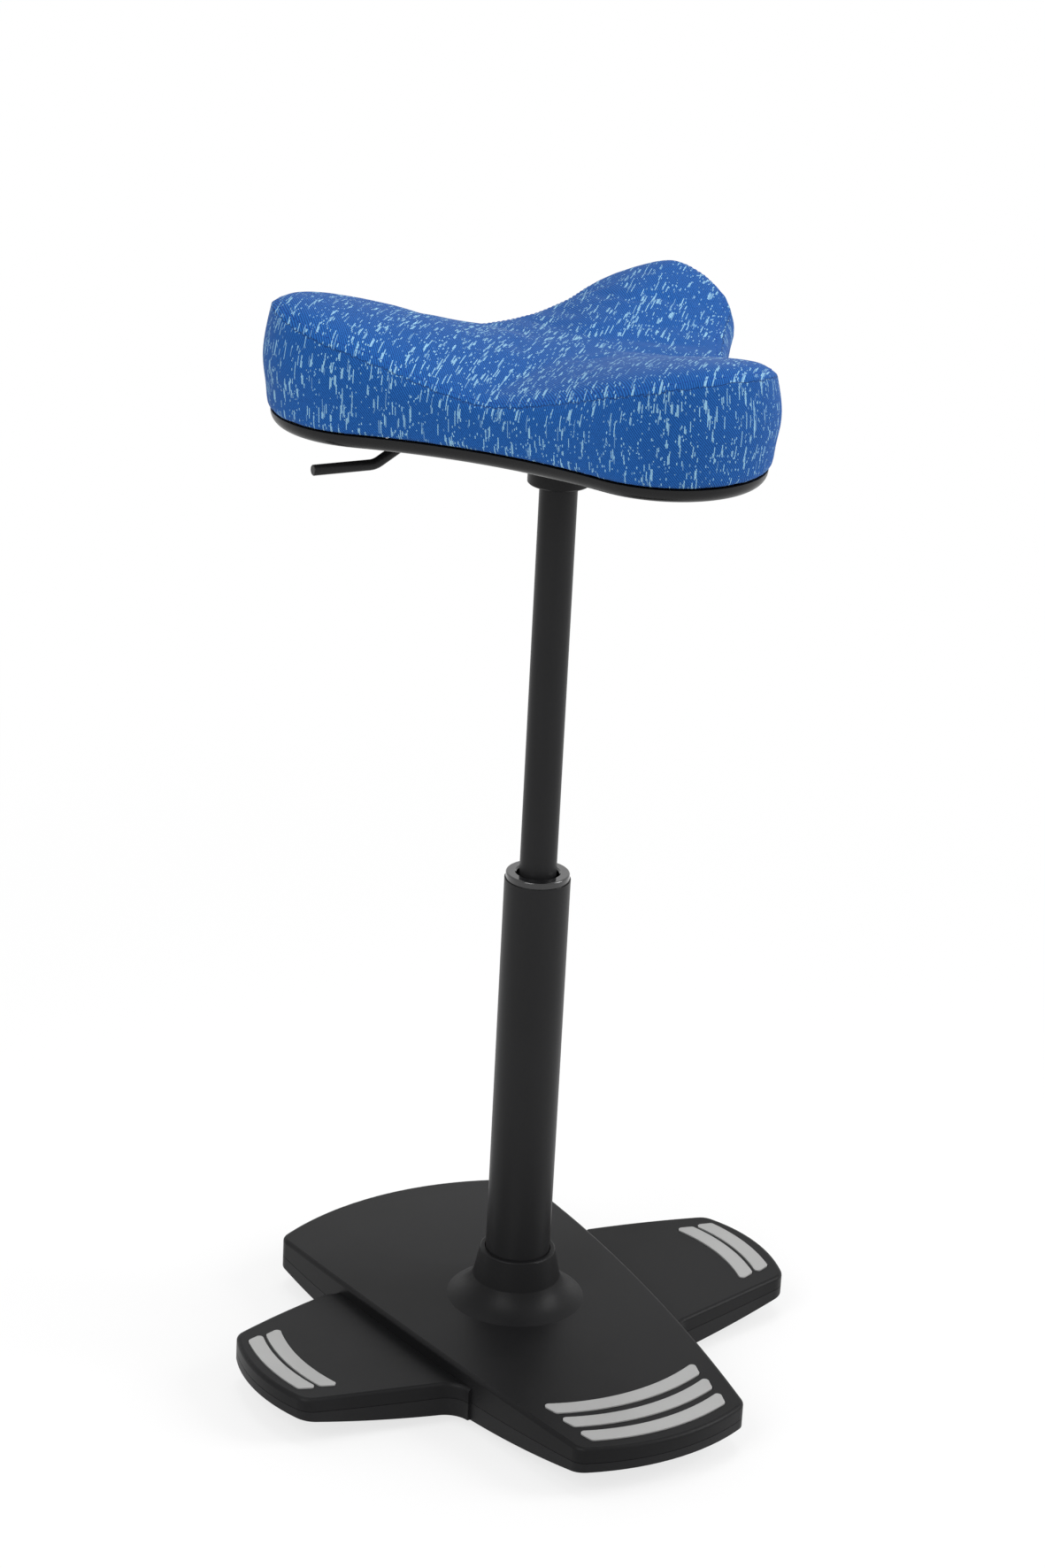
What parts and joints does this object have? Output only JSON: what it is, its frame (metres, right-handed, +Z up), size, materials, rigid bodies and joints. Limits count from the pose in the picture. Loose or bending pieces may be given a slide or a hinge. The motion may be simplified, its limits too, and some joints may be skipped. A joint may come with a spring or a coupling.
{
  "type": "wobble stool",
  "caption": "Height-adjustable perch stool with a rocking foot base, grey grip strips, a gas column and a saddle-shaped blue fabric seat with a release lever.",
  "frame": {"origin": "on the column's axis at the floor, in the flat sole face", "axes": "+Z up along the column, -Y towards the tongue of the foot base that carries the front strips, +X towards the right wing seen from behind that tongue"},
  "size_m": [0.4594, 0.4286, 0.8412],
  "materials": {
    "base_plastic": "fine grain, satin black",
    "under_plastic": "fine grain, dark grey",
    "grip_rubber": "soft matt grey",
    "sole_rubber": "matt black",
    "ballast_iron": "as cast",
    "zinc_steel": "zinc plated",
    "column_paint": "satin black powder coat",
    "cylinder_paint": "satin black powder coat",
    "ring_plastic": "gloss black",
    "sleeve_plastic": "natural acetal",
    "bearing_steel": "hardened steel",
    "rod_chrome": "polished",
    "aluminium": "turned",
    "valve_plastic": "natural",
    "shroud_plastic": "satin black",
    "plate_paint": "black e-coat",
    "pan_plastic": "semi-gloss black",
    "board_plastic": "moulded, black",
    "lever_paint": "satin black",
    "blue_fabric": "woven, blue with pale flecks"
  },
  "bodies": {
    "base": {"base_cover": "base_plastic", "base_under_shell": "under_plastic", "front_grip_strips": "grip_rubber", "left_grip_strips": "grip_rubber", "right_grip_strips": "grip_rubber", "rubber_sole": "sole_rubber", "ballast_plate": "ballast_iron", "column_hub": "zinc_steel", "hub_bolts": "zinc_steel", "cover_screws": "zinc_steel", "outer_column": "column_paint", "guide_ring": "ring_plastic", "guide_sleeve": "sleeve_plastic", "lower_race": "bearing_steel", "bearing_balls": "bearing_steel"},
    "rod": {"piston_rod": "rod_chrome", "piston": "aluminium", "rod_buffer": "sole_rubber", "rod_clip": "bearing_steel", "upper_race": "bearing_steel"},
    "seat": {"gas_cylinder": "cylinder_paint", "cylinder_end_plug": "aluminium", "valve_body": "aluminium", "taper_socket": "zinc_steel", "socket_shroud": "shroud_plastic", "mounting_plate": "plate_paint", "lever_pivot_pin": "zinc_steel", "plate_bolts": "zinc_steel", "board_nuts": "zinc_steel", "seat_pan": "pan_plastic", "pan_screws": "zinc_steel", "seat_board": "board_plastic", "seat_cushion": "blue_fabric"},
    "lever": {"release_lever": "lever_paint"},
    "valve": {"valve_pin": "valve_plastic"}
  },
  "joints": [
    {"name": "seat_swivel", "type": "hinge", "parent": "base", "child": "rod", "pos_m": [0, 0, 0.02], "axis": [0, 0, 1], "continuous": true},
    {"name": "height_lift", "type": "slide", "parent": "rod", "child": "seat", "axis": [0, 0, 1], "range_m": [-0.26, 0]},
    {"name": "release_lever", "type": "hinge", "parent": "seat", "child": "lever", "pos_m": [-0.0299, 0.00246, 0.7676], "axis": [0.0819, 0.9966, 0], "range_deg": [0, 3.8]},
    {"name": "valve_press", "type": "slide", "parent": "seat", "child": "valve", "axis": [0, 0, 1], "range_m": [-0.002, 0], "stiffness_N_per_m": 1500}
  ],
  "couplings": [
    {"joint": "valve_press", "follows": "release_lever", "m_per_rad": -0.03}
  ]
}
